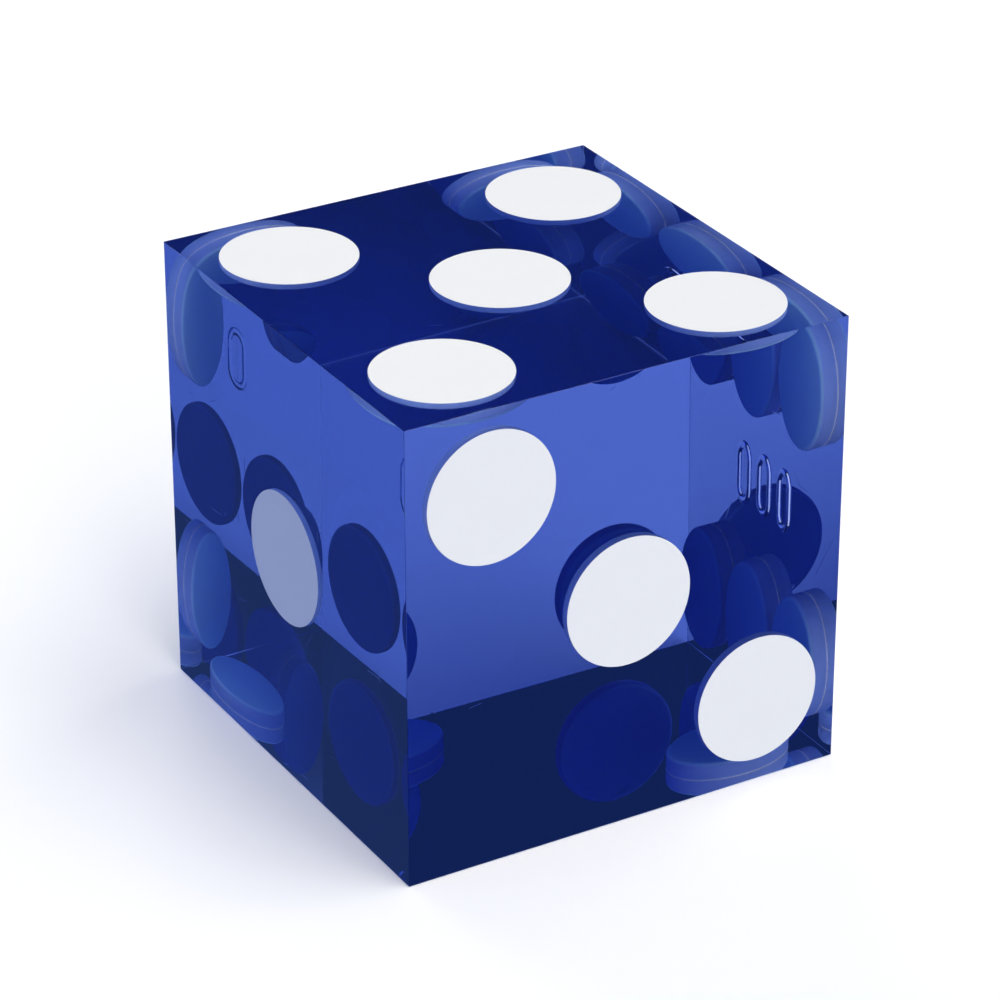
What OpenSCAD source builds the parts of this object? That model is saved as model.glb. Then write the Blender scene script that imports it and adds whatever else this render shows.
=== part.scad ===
// Precision casino die: a transparent cube with opaque pips set flush in blind holes.

/* [Cube] */
// Length of each edge of the cube
die_edge = 19.05; // [19:0.05:25]

/* [Pips] */
// Diameter of each pip
pip_d = 5.4; // [4:0.1:5.4]
// How deep each pip goes into the cube
pip_depth = 0.8; // [0.6:0.1:1.5]
// Clear plastic left between an outer pip and the nearest edge of the cube
edge_gap = 0.9; // [0.6:0.1:1]
// Width of the bevel round the inner end of a pip
bevel = 0.2; // [0.1:0.05:0.3]
// How far the middle of the inner end stands out from its bevel
crown = 0.05; // [0.05:0.05:0.2]

/* [Serial number] */
// How many zeros stand in for the number
digits = 3; // [1:1:4]
// Height of a digit
digit_height = 2.8; // [2:0.1:3.2]
// Width of a digit
digit_width = 1.6; // [1.2:0.1:1.8]
// Distance from one digit to the next
digit_pitch = 2.5; // [2.2:0.1:2.8]
// Width of the engraved line
stroke = 0.35; // [0.2:0.05:0.5]
// Depth of the engraved line
stroke_depth = 0.1; // [0.1:0.05:0.4]

/* [Hidden] */
$fn = 64;
pip_r = pip_d / 2;
// Distance from the middle of a face to the pips on either side
pip_pitch = die_edge / 2 - edge_gap - pip_r;
// Cutters start this far outside the face
clear = 1;
crown_steps = 6;
middle = [[0, 0]];
corners = [[-1, 1], [1, 1], [-1, -1], [1, -1]];
// Each face: its name, the turn that brings its front round from +Z, and where its pips are, in
// steps of one pitch from its middle. Opposite faces add up to seven.
faces = [
    ["one", [0, -90, 0], middle],
    ["two", [180, 0, 0], [[-1, -1], [1, 1]]],
    ["three", [90, 0, 0], [[-1, 1], [0, 0], [1, -1]]],
    ["four", [-90, 0, 0], corners],
    ["five", [0, 0, 0], concat(corners, middle)],
    ["six", [0, 90, 0], [for (row = [-1, 1], place = [-1 : 1]) [row, place]]],
];
numbered_face = faces[5];

// The count of a face's pips, as a list to loop over
function pips_of(face) = [0 : len(face[2]) - 1];

function pip_name(face, i) = str(face[0], "_pip_", i + 1);

// A point on the crown of the inner end, from its middle at 0 to the bevel at 1
function crown_point(t) = [(pip_r - bevel) * t, crown * t * t - pip_depth];

// Half of a pip's outline, from the face at height 0 down to its crowned inner end
pip_outline = concat(
    [[0, 0], [pip_r, 0], [pip_r, crown + bevel - pip_depth]],
    [for (i = [crown_steps : -1 : 0]) crown_point(i / crown_steps)]
);

module pip_shape() {
    rotate_extrude() polygon(pip_outline);
}

// The hole has the pip's own shape, and runs on outside the face so that it cuts cleanly
module pip_hole() {
    pip_shape();
    cylinder(h = clear, r = pip_r);
}

// Stands what is drawn at the origin on the middle of a face of the cube, its +Z outwards
module on_face(face) {
    translate([0, 0, die_edge / 2]) rotate(face[1]) translate([0, 0, die_edge / 2]) children();
}

// Moves what is drawn at the origin to the place of one of a face's pips
module at_pip(face, i) {
    on_face(face) translate([face[2][i][0] * pip_pitch, face[2][i][1] * pip_pitch, 0]) children();
}

// A block with round ends, its length along X, from height low to height high
module round_ended(length, width, low, high) {
    reach = (length - width) / 2;
    translate([0, 0, low]) {
        translate([-reach, -width / 2, 0]) cube([2 * reach, width, high - low]);
        for (side = [-1, 1]) translate([side * reach, 0, 0]) cylinder(h = high - low, d = width);
    }
}

// The engraved line of one zero: an oval with an oval island left standing inside it
module zero_cut() {
    difference() {
        round_ended(digit_height, digit_width, -stroke_depth, clear);
        round_ended(digit_height - 2 * stroke, digit_width - 2 * stroke, -clear, 2 * clear);
    }
}

// The row of zeros across the middle of a face
module serial_cut() {
    for (i = [0 : digits - 1])
        translate([0, (i - (digits - 1) / 2) * digit_pitch, 0]) zero_cut();
}

module body() {
    color([0.13, 0.22, 0.62, 0.6])
        difference() {
            translate([-die_edge / 2, -die_edge / 2, 0]) cube(die_edge);
            for (face = faces) for (i = pips_of(face)) at_pip(face, i) pip_hole();
            on_face(numbered_face) serial_cut();
        }
}

module pip(face, i) {
    color([0.94, 0.94, 0.94]) at_pip(face, i) pip_shape();
}

body();
for (face = faces) for (i = pips_of(face))
    pip(face, i);
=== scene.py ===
import math

import bmesh
import bpy
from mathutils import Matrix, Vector


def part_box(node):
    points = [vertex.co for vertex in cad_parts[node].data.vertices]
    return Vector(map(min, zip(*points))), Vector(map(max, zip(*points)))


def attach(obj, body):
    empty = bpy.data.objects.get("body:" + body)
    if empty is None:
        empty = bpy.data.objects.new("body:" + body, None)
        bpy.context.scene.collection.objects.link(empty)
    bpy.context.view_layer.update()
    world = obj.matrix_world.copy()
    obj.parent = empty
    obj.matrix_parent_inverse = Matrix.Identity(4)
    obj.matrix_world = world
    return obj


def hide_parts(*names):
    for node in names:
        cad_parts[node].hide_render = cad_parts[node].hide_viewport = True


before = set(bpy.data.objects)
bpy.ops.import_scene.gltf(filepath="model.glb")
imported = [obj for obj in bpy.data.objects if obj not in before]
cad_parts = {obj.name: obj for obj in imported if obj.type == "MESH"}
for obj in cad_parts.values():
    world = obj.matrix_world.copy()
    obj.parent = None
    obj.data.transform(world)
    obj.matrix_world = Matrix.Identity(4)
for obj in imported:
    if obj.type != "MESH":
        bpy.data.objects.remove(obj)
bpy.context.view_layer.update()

mm = 0.001  # everything below is in metres
micron = 0.001 * mm
scene = bpy.context.scene

low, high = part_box("body")
dieEdge = high.x - low.x
dieMiddle = (low + high) / 2
pipNodes = sorted(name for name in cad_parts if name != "body")


# short calls for building node trees, used for shapes and finishes alike

class Value:  # a node's output that can stand in an expression
    def __init__(self, graph, node, socket):
        self.graph, self.node, self.socket = graph, node, socket

    def out(self, name):
        return Value(self.graph, self.node, self.node.outputs[name])

    def maths(self, operation, *others, first=None):
        inputs = [self if first is None else first, *others]
        return self.graph.add("ShaderNodeMath", {"operation": operation}, dict(enumerate(inputs)))

    def __add__(self, other):
        return self.maths("ADD", other)

    def __sub__(self, other):
        return self.maths("SUBTRACT", other)

    def __rsub__(self, other):
        return self.maths("SUBTRACT", self, first=other)

    def __mul__(self, other):
        return self.maths("MULTIPLY", other)

    def __truediv__(self, other):
        return self.maths("DIVIDE", other)

    __radd__ = __add__
    __rmul__ = __mul__

    def step(self, start, end):  # 0 before start, 1 after end, smooth between
        ends = {"From Min": start, "From Max": end, "Value": self}
        return self.graph.add("ShaderNodeMapRange", {"interpolation_type": "SMOOTHSTEP"}, ends)


class Graph:  # a node tree that is filled by short calls
    def __init__(self, tree):
        self.tree = tree

    def add(self, kind, settings=None, inputs=None):
        node = self.tree.nodes.new(kind)
        for name, setting in (settings or {}).items():
            setattr(node, name, setting)
        for key, value in (inputs or {}).items():
            if isinstance(value, Value):
                self.tree.links.new(value.socket, node.inputs[key])
            else:
                node.inputs[key].default_value = value
        shown = [socket for socket in node.outputs if socket.enabled]
        return Value(self, node, shown[0] if shown else None)

    def scaled(self, colour, factor, added=(0, 0, 0)):  # a colour times a number, plus another
        settings = {"operation": "MULTIPLY_ADD"}
        return self.add("ShaderNodeVectorMath", settings, {0: colour, 1: factor, 2: added})

    def noise(self, place, scale, detail):
        waves = {"Vector": place, "Scale": scale, "Detail": detail}
        return self.add("ShaderNodeTexNoise", {}, waves)

    def bump(self, height):  # a height in metres, as a change of the way the surface faces
        return self.add("ShaderNodeBump", {}, {"Strength": 1.0, "Distance": 1.0, "Height": height})

    def blend(self, factor, first, second):  # a colour between two others
        mix = self.add("ShaderNodeMix", {"data_type": "RGBA"}, {0: factor})
        for key, colour in ((6, first), (7, second)):  # where a Mix node takes its two colours
            if isinstance(colour, Value):
                self.tree.links.new(colour.socket, mix.node.inputs[key])
            else:
                mix.node.inputs[key].default_value = (*colour, 1)
        return mix


def shapeGraph(name, inputs):
    # an empty geometry tree with named inputs, which takes a mesh and gives one back
    tree = bpy.data.node_groups.new(name, "GeometryNodeTree")
    tree.interface.new_socket("Geometry", in_out="OUTPUT", socket_type="NodeSocketGeometry")
    for label, kind in [("Geometry", "Geometry"), *inputs]:
        tree.interface.new_socket(label, in_out="INPUT", socket_type="NodeSocket" + kind)
    graph = Graph(tree)
    return graph, graph.add("NodeGroupInput")


def standOnFace(graph, geometry, given):
    # carries what lies at the origin, its +Z up, to its place on a face of the cube
    outward = {"Vector": given.out("Outward")}
    upright = graph.add("FunctionNodeAlignRotationToVector", {"axis": "Z"}, outward)
    placed = {"Geometry": geometry, "Translation": given.out("Place"), "Rotation": upright}
    return graph.add("GeometryNodeTransform", {}, placed)


def endShape(graph, geometry, material):
    # closes a geometry tree: one plain mesh in one material
    plain = graph.add("GeometryNodeRealizeInstances", {}, {"Geometry": geometry})
    done = graph.add("GeometryNodeSetMaterial", {}, {"Geometry": plain, "Material": material})
    graph.add("NodeGroupOutput", {}, {"Geometry": done})
    return graph.tree


def makeFrom(tree, name, mesh, sizes):
    # runs a geometry tree on a mesh and keeps the plain mesh that comes out
    worker = bpy.data.objects.new(name, mesh)
    scene.collection.objects.link(worker)
    modifier = worker.modifiers.new(tree.name, "NODES")
    modifier.node_group = tree
    for item in tree.interface.items_tree:
        if item.in_out == "INPUT" and item.name in sizes:
            modifier[item.identifier] = sizes[item.name]
    shaped = worker.evaluated_get(bpy.context.evaluated_depsgraph_get())
    made = bpy.data.meshes.new_from_object(shaped)
    worker.modifiers.clear()
    worker.data = made
    made.name = name
    return worker


def shadeEdges(mesh, creaseAngle=math.radians(30), levelness=0.99999):
    # flat faces stay flat right up to their borders, and round ones shade smoothly
    work = bmesh.new()
    work.from_mesh(mesh)
    for face in work.faces:
        face.smooth = True
    for edge in work.edges:
        level = any(max(map(abs, face.normal)) > levelness for face in edge.link_faces)
        edge.smooth = not level and edge.calc_face_angle(0) < creaseAngle
    work.to_mesh(mesh)
    work.free()


def newFinish(name):
    # a material with an empty tree, and the graph that fills it
    material = bpy.data.materials.new(name)
    material.use_nodes = True
    material.node_tree.nodes.clear()
    return material, Graph(material.node_tree)


# the plastics

acetateLook = {
    "ior": 1.49,
    "roughness": 0.0,
    "absorbed": (128.0, 100.0, 31.0),  # red, green and blue taken off, per metre
    "ripple": 0.03 * micron,  # what the polishing wheel leaves
    "rippleScale": 9000.0,  # this and the other scales are in waves per metre
    "hairlineGap": 3.5 * mm,
    "hairlineWidth": 0.025 * mm,
    "hairlineDepth": 1.2 * micron,
    "wornScale": 700.0,
    "wornShare": (0.60, 0.66),  # noise levels between which a hairline fades in
}


def makeAcetate():
    look = acetateLook
    material, graph = newFinish("clearBlueAcetate")
    place = graph.add("ShaderNodeTexCoord").out("Object")
    ripple = graph.noise(place, look["rippleScale"], 1.0)
    worn = graph.noise(place, look["wornScale"], 1.0)
    cells = {"Vector": place, "Scale": 1 / look["hairlineGap"]}
    cells = graph.add("ShaderNodeTexVoronoi", {"feature": "DISTANCE_TO_EDGE"}, cells)
    hairline = 1 - cells.step(0, look["hairlineWidth"] / look["hairlineGap"])
    hairline = hairline * worn.step(*look["wornShare"])
    height = ripple * look["ripple"] - hairline * look["hairlineDepth"]
    density = max(look["absorbed"])
    tint = [1 - share / density for share in look["absorbed"]] + [1.0]
    shader = graph.add("ShaderNodeBsdfPrincipled", {}, {
        "Base Color": (1, 1, 1, 1), "Roughness": look["roughness"], "IOR": look["ior"],
        "Transmission Weight": 1.0, "Normal": graph.bump(height),
    })
    inside = graph.add("ShaderNodeVolumeAbsorption", {}, {"Color": tint, "Density": density})
    graph.add("ShaderNodeOutputMaterial", {}, {"Surface": shader, "Volume": inside})
    return material


pipLook = {
    "white": (0.78, 0.78, 0.78),
    "wall": (0.25, 0.36, 0.78),  # painted blue shade on the pip walls below the face
    "wallStart": (0.005 * mm, 0.05 * mm),  # depth under the face at which the painted shade begins and is full
    "end": (0.52, 0.84, 1.0),  # painted blue light on the inner end of each pip
    "endStart": (0.58 * mm, 0.74 * mm),
    "mottle": 0.05,
    "mottleScale": 500.0,
    "speckleScale": 4000.0,
    "grainDepth": 0.5 * micron,
    "roughness": 0.6,
    "gloss": 0.6,  # on the polished face only
    "glossRoughness": 0.3,
}


def makeFiller():
    look = pipLook
    material, graph = newFinish("whiteFiller")
    depth = graph.add("ShaderNodeAttribute", {"attribute_name": "depth"}).out("Fac")
    inside = depth.step(*look["wallStart"])
    across = graph.add("ShaderNodeUVMap", {"uv_map": "fromAxis"})
    speckle = graph.noise(across, look["speckleScale"], 4.0)
    cloud = graph.noise(across, look["mottleScale"], 2.0)
    shade = 1 - look["mottle"] * (speckle * 0.5 + cloud * 0.5)
    # painted blue shade on the walls, giving way to painted blue light at the inner ends
    paintedShadeAndLight = graph.blend(depth.step(*look["endStart"]), look["wall"], look["end"])
    colour = graph.scaled(graph.blend(inside, look["white"], paintedShadeAndLight), shade)
    shader = graph.add("ShaderNodeBsdfPrincipled", {}, {
        "Base Color": colour, "Roughness": look["roughness"], "Specular IOR Level": 0.0,
        "Coat Weight": look["gloss"] * (1 - inside), "Coat Roughness": look["glossRoughness"],
        "Normal": graph.bump(speckle * look["grainDepth"]),
    })
    graph.add("ShaderNodeOutputMaterial", {}, {"Surface": shader})
    return material


acetate, filler = makeAcetate(), makeFiller()
print("finishes made")


# the pips

pipShape = {
    "sides": 96,
    "round": 0.2 * mm,  # radius of the rim of the inner end
    "roundSteps": 6,
    "crown": 0.05 * mm,  # how far the middle of the inner end stands out
    "crownSteps": 6,
    "inset": 1 * micron,  # how far a pip's face lies inside the CAD box
    "proud": 2 * micron,  # how far it stands above the face of the cube
    "bite": 4 * micron,  # how far its wall stands inside the plastic, so that they touch with no air
    "weld": 0.5 * micron,  # points nearer than this become one
}


def pipOutline(radius, depth, grown=0.0, reach=0.0):
    # half of a pip's outline as (distance from its axis, depth), from the middle of its face round
    # to the middle of its inner end; grown adds to every wall, reach carries it out of its hole
    shape = pipShape
    corner = shape["round"]
    points = [(0, -reach), (radius, -reach)]
    for i in range(shape["roundSteps"] + 1):
        turn = math.pi / 2 * i / shape["roundSteps"]
        points.append((
            radius - corner * (1 - math.cos(turn)),
            depth - shape["crown"] - corner * (1 - math.sin(turn)),
        ))
    for i in range(shape["crownSteps"] - 1, -1, -1):
        t = i / shape["crownSteps"]
        points.append((t * (radius - corner), depth - shape["crown"] * t * t))
    return [(x + grown if x else 0, y + grown if y > 0 else y) for x, y in points]


def outlineMesh(points):
    mesh = bpy.data.meshes.new("outline")
    mesh.from_pydata([(x, y, 0) for x, y in points], [(i, i + 1) for i in range(len(points) - 1)], [])
    return mesh


def makeLathe():
    # spins an outline round its own axis and stands the result on a face of the cube
    inputs = [("Radius", "Float"), ("Sides", "Int"), ("Place", "Vector"), ("Outward", "Vector")]
    graph, given = shapeGraph("lathe", inputs + [("Finish", "Material")])
    radius = given.out("Radius")
    outline = graph.add("GeometryNodeMeshToCurve", {}, {"Mesh": given.out("Geometry")})
    inwards = graph.add("ShaderNodeCombineXYZ", {}, {"X": 0 - radius})
    outline = graph.add("GeometryNodeTransform", {}, {"Geometry": outline, "Translation": inwards})
    path = {"Radius": radius, "Resolution": given.out("Sides")}
    circle = graph.add("GeometryNodeCurvePrimitiveCircle", {}, path)
    turned = graph.add("GeometryNodeCurveToMesh", {}, {"Curve": circle, "Profile Curve": outline})
    merged = {"Geometry": turned, "Distance": pipShape["weld"]}
    closed = graph.add("GeometryNodeMergeByDistance", {}, merged)
    position = graph.add("GeometryNodeInputPosition")
    mapped = graph.add(
        "GeometryNodeStoreNamedAttribute", {"data_type": "FLOAT2", "domain": "CORNER"},
        {"Geometry": closed, "Name": "fromAxis", "Value": position},
    )
    height = graph.add("ShaderNodeSeparateXYZ", {}, {"Vector": position}).out("Z")
    mapped = graph.add(
        "GeometryNodeStoreNamedAttribute", {"data_type": "FLOAT", "domain": "POINT"},
        {"Geometry": mapped, "Name": "depth", "Value": 0 - height},
    )
    return endShape(graph, standOnFace(graph, mapped, given), given.out("Finish"))


def pipPlace(node):
    # where a CAD pip's face is, which way it looks, its radius and its depth
    low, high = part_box(node)
    size = high - low
    axis = min(range(3), key=lambda i: size[i])
    side = 1 if (low + high)[axis] > 2 * dieMiddle[axis] else -1
    outward = Vector([side if i == axis else 0 for i in range(3)])
    place = (low + high) / 2 + outward * (size[axis] / 2 - pipShape["inset"])
    return place, outward, max(size) / 2, size[axis]


def makePips(lathe, kind, grown=0.0, reach=0.0):
    # one turned mesh at each CAD pip's place, for the pips themselves and for the cutters
    made = []
    for node in pipNodes:
        place, outward, radius, depth = pipPlace(node)
        outline = outlineMesh(pipOutline(radius, depth, grown, reach))
        pip = makeFrom(lathe, kind + "_" + node, outline, {
            "Radius": radius, "Sides": pipShape["sides"], "Place": place, "Outward": outward,
            "Finish": filler,
        })
        made.append(pip)
    return made


lathe = makeLathe()
pips = makePips(lathe, "look")
for pip in pips:
    shadeEdges(pip.data)
print(len(pips), "pips made")


# the cube

cubeShape = {
    "edgeBevel": 0.02 * mm,  # only enough to catch the light
    "bevelSteps": 3,
    "cutterReach": 0.5 * mm,
}
skin = pipShape["inset"] + pipShape["proud"]
digitShape = {
    "count": 3,
    "height": 2.8 * mm,
    "width": 1.6 * mm,
    "pitch": 2.5 * mm,
    "stroke": 0.35 * mm,
    "depth": 0.1 * mm,
    "cornerSteps": 16,
    "strokeSteps": 12,
}


def makeBlank():
    # the cube before it is drilled, its faces just under those of the pips
    size = dieEdge - 2 * skin
    work = bmesh.new()
    bmesh.ops.create_cube(work, size=size)
    bevel, steps = cubeShape["edgeBevel"], cubeShape["bevelSteps"]
    bmesh.ops.bevel(
        work, geom=work.edges[:], offset=bevel, segments=steps, profile=0.5, affect="EDGES",
    )
    bmesh.ops.translate(work, verts=work.verts[:], vec=dieMiddle)
    mesh = bpy.data.meshes.new("blank")
    work.to_mesh(mesh)
    work.free()
    return mesh


def makeEngraver():
    # a row of zeros, each a round bar bent along an oval, half sunk in the numbered face
    inputs = [(size, "Float") for size in ("Height", "Width", "Pitch", "Stroke", "Depth")]
    inputs += [("Count", "Int"), ("Place", "Vector"), ("Outward", "Vector")]
    inputs += [("Finish", "Material")]
    graph, given = shapeGraph("engraver", inputs)
    width, pitch = given.out("Width"), given.out("Pitch")
    stroke = given.out("Stroke")
    centre = width - stroke
    box = {"Width": given.out("Height") - stroke, "Height": centre}
    oval = graph.add("GeometryNodeCurvePrimitiveQuadrilateral", {}, box)
    steps = digitShape["cornerSteps"]
    rounding = {"Curve": oval, "Radius": centre / 2, "Limit Radius": True, "Count": steps}
    oval = graph.add("GeometryNodeFilletCurve", {"mode": "POLY"}, rounding)
    bar = {"Resolution": digitShape["strokeSteps"], "Radius": 1.0}
    tip = graph.add("GeometryNodeCurvePrimitiveCircle", {}, bar)
    flat = {"X": stroke / 2, "Y": given.out("Depth"), "Z": 1.0}
    flat = graph.add("ShaderNodeCombineXYZ", {}, flat)
    tip = graph.add("GeometryNodeTransform", {}, {"Geometry": tip, "Scale": flat})
    digit = graph.add("GeometryNodeCurveToMesh", {}, {"Curve": oval, "Profile Curve": tip})
    count = given.out("Count")
    start = graph.add("ShaderNodeCombineXYZ", {}, {"Y": (1 - count) * pitch / 2})
    offset = graph.add("ShaderNodeCombineXYZ", {}, {"Y": pitch})
    spaced = {"Count": count, "Start Location": start, "Offset": offset}
    row = graph.add("GeometryNodeMeshLine", {}, spaced)
    row = graph.add("GeometryNodeInstanceOnPoints", {}, {"Points": row, "Instance": digit})
    return endShape(graph, standOnFace(graph, row, given), given.out("Finish"))


def makeDrill():
    # takes every mesh of a collection of cutters out of the blank
    graph, given = shapeGraph("drill", [("Cutters", "Collection"), ("Finish", "Material")])
    cutters = graph.add("GeometryNodeCollectionInfo", {}, {"Collection": given.out("Cutters")})
    cutters = graph.add("GeometryNodeRealizeInstances", {}, {"Geometry": cutters})
    cut = {"Mesh 1": given.out("Geometry"), "Mesh 2": cutters}
    settings = {"operation": "DIFFERENCE", "solver": "MANIFOLD"}
    drilled = graph.add("GeometryNodeMeshBoolean", settings, cut)
    return endShape(graph, drilled, given.out("Finish"))


def cleanMesh(mesh, material):
    # takes off the maps and the spare material slots that came with the cutters
    mesh.materials.clear()
    mesh.materials.append(material)
    for name in ("depth", "fromAxis"):
        mesh.attributes.remove(mesh.attributes[name])


def makeCube():
    cutters = makePips(lathe, "cutter", -pipShape["bite"], cubeShape["cutterReach"])
    size = digitShape
    cutters.append(makeFrom(makeEngraver(), "cutter_digits", bpy.data.meshes.new("none"), {
        "Height": size["height"], "Width": size["width"], "Pitch": size["pitch"],
        "Stroke": size["stroke"], "Depth": size["depth"], "Count": size["count"],
        "Place": Vector((dieMiddle.x + dieEdge / 2 - skin, dieMiddle.y, dieMiddle.z)),
        "Outward": Vector((1, 0, 0)), "Finish": acetate,
    }))
    tray = bpy.data.collections.new("cutters")
    for cutter in cutters:
        tray.objects.link(cutter)
    cube = makeFrom(makeDrill(), "look_body", makeBlank(), {"Cutters": tray, "Finish": acetate})
    for cutter in cutters:
        bpy.data.objects.remove(cutter)
    bpy.data.collections.remove(tray)
    cleanMesh(cube.data, acetate)
    shadeEdges(cube.data)
    return cube


cube = makeCube()
print("cube drilled:", len(cube.data.polygons), "faces")


def standIn(piece):
    # puts a finished piece in the place of the CAD node that it's named for
    node = piece.name.removeprefix("look_")
    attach(piece, "root")
    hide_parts(node)


standIn(cube)
for pip in pips:
    standIn(pip)
print("pieces in place")


# the table, the light and the camera

stageLook = {
    "floorSize": 4.0,
    "floorGap": 20 * micron,
    "floorWhite": (0.95, 0.95, 0.95),
    "floorRoughness": 0.7,
    "floorSheen": 0.2,
    "azimuth": -30.4,  # degrees round from straight in front of the three
    "elevation": 27.5,
    "distance": 8.8,  # in edges of the die
    "framing": 2.05,  # width of the picture at the die, in edges of the die
}


def makeFloor():
    look = stageLook
    half = look["floorSize"] / 2
    mesh = bpy.data.meshes.new("floor")
    corners = [(-half, -half), (half, -half), (half, half), (-half, half)]
    mesh.from_pydata([(x, y, low.z - look["floorGap"]) for x, y in corners], [], [(0, 1, 2, 3)])
    material, graph = newFinish("palePaper")
    shader = graph.add("ShaderNodeBsdfPrincipled", {}, {
        "Base Color": (*look["floorWhite"], 1), "Roughness": look["floorRoughness"],
        "Specular IOR Level": look["floorSheen"],
    })
    graph.add("ShaderNodeOutputMaterial", {}, {"Surface": shader})
    mesh.materials.append(material)
    floor = bpy.data.objects.new("floor", mesh)
    scene.collection.objects.link(floor)
    floor.visible_glossy = False  # as through a polarising filter
    floor.visible_diffuse = False  # the lamps and the glow below stand in for its bounce


lightLook = {
    "dark": (0.032, 0.072, 0.14),  # between the lights
    "backdrop": (0.95, 0.92, 0.86),  # pale just above the edge of the floor
    "backdropTop": (7, 14),  # degrees of elevation over which it fades
    "underneath": (0.075, 0.155, 0.39),  # what gloss and the pips see in place of the floor
    "horizon": (-0.03, -0.015),  # heights between which it gives way to the backdrop
    "glows": [  # colour, azimuth and elevation of the middle, degrees from there to its edges
        {"colour": (2.8, 2.7, 2.45), "at": (25, 60), "edge": (30, 20)},
        {"colour": (0.70, 0.68, 0.62), "at": (0, 90), "edge": (42, 25)},
        {"colour": (0.08, 0.16, 0.75), "at": (-90, 5), "edge": (55, 35)},
    ],
    "lamps": [  # azimuth, elevation and brightness on a sheet of white card that faces it
        {"at": (0, 10), "level": 0.94},
        {"at": (90, 10), "level": 0.68},
        {"at": (172, 17), "level": 0.76},
    ],
    "lampColour": (1.0, 0.975, 0.88),
    "lampDistance": 3.0,
    "lampSize": 3.0,
}


def direction(azimuth, elevation):
    # from the die towards a place this far round from straight in front of the three
    azimuth, elevation = math.radians(azimuth), math.radians(elevation)
    return Vector((
        math.sin(azimuth) * math.cos(elevation),
        -math.cos(azimuth) * math.cos(elevation),
        math.sin(elevation),
    ))


def sines(angles):
    return [math.sin(math.radians(angle)) for angle in angles]


def makeWorld():
    look = lightLook
    world = bpy.data.worlds.new("studio")
    scene.world = world
    world.use_nodes = True
    world.node_tree.nodes.clear()
    graph = Graph(world.node_tree)
    towards = graph.add("ShaderNodeTexCoord").out("Generated")
    height = graph.add("ShaderNodeSeparateXYZ", {}, {"Vector": towards}).out("Z")
    nearFloor = 1 - height.step(*sines(look["backdropTop"]))
    above = graph.scaled(look["backdrop"], nearFloor, look["dark"])
    for glow in look["glows"]:
        aim = {0: towards, 1: direction(*glow["at"])}
        facing = graph.add("ShaderNodeVectorMath", {"operation": "DOT_PRODUCT"}, aim).out("Value")
        inside = facing.step(*[math.cos(math.radians(angle)) for angle in glow["edge"]])
        above = graph.scaled(glow["colour"], inside, above)
    colour = graph.blend(height.step(*look["horizon"]), look["underneath"], above)
    shader = graph.add("ShaderNodeBackground", {}, {"Color": colour, "Strength": 1.0})
    graph.add("ShaderNodeOutputWorld", {}, {"Surface": shader})


def makeLamps():
    # soft lamps for the pips, which neither show in the plastic nor through it
    look = lightLook
    for i, lamp in enumerate(look["lamps"]):
        back = direction(*lamp["at"])
        data = bpy.data.lights.new("lamp" + str(i + 1), "AREA")
        data.shape = "DISK"
        data.size = look["lampSize"]
        data.color = look["lampColour"]
        data.energy = lamp["level"] * (math.pi * look["lampDistance"]) ** 2
        item = bpy.data.objects.new(data.name, data)
        item.location = dieMiddle + back * look["lampDistance"]
        item.rotation_mode = "QUATERNION"
        item.rotation_quaternion = (-back).to_track_quat("-Z", "Y")
        item.visible_glossy = False
        item.visible_transmission = False
        scene.collection.objects.link(item)


def makeCamera():
    look = stageLook
    back = direction(look["azimuth"], look["elevation"])
    data = bpy.data.cameras.new("camera")
    data.sensor_width = 36.0
    data.lens = data.sensor_width * look["distance"] / look["framing"]
    data.clip_start, data.clip_end = 10 * mm, 10.0
    camera = bpy.data.objects.new("camera", data)
    camera.location = dieMiddle + back * look["distance"] * dieEdge
    camera.rotation_mode = "QUATERNION"
    camera.rotation_quaternion = (-back).to_track_quat("-Z", "Y")
    scene.collection.objects.link(camera)
    scene.camera = camera


makeFloor()
makeWorld()
makeLamps()
makeCamera()
scene.view_settings.view_transform = "Standard"
scene.cycles.max_bounces = 32  # light turns round many times inside the cube
scene.cycles.transmission_bounces = 32
scene.cycles.glossy_bounces = 16
scene.cycles.diffuse_bounces = 8
scene.cycles.blur_glossy = 0.0  # or light that has met a pip is dimmed on its way out of the cube
print("stage set")
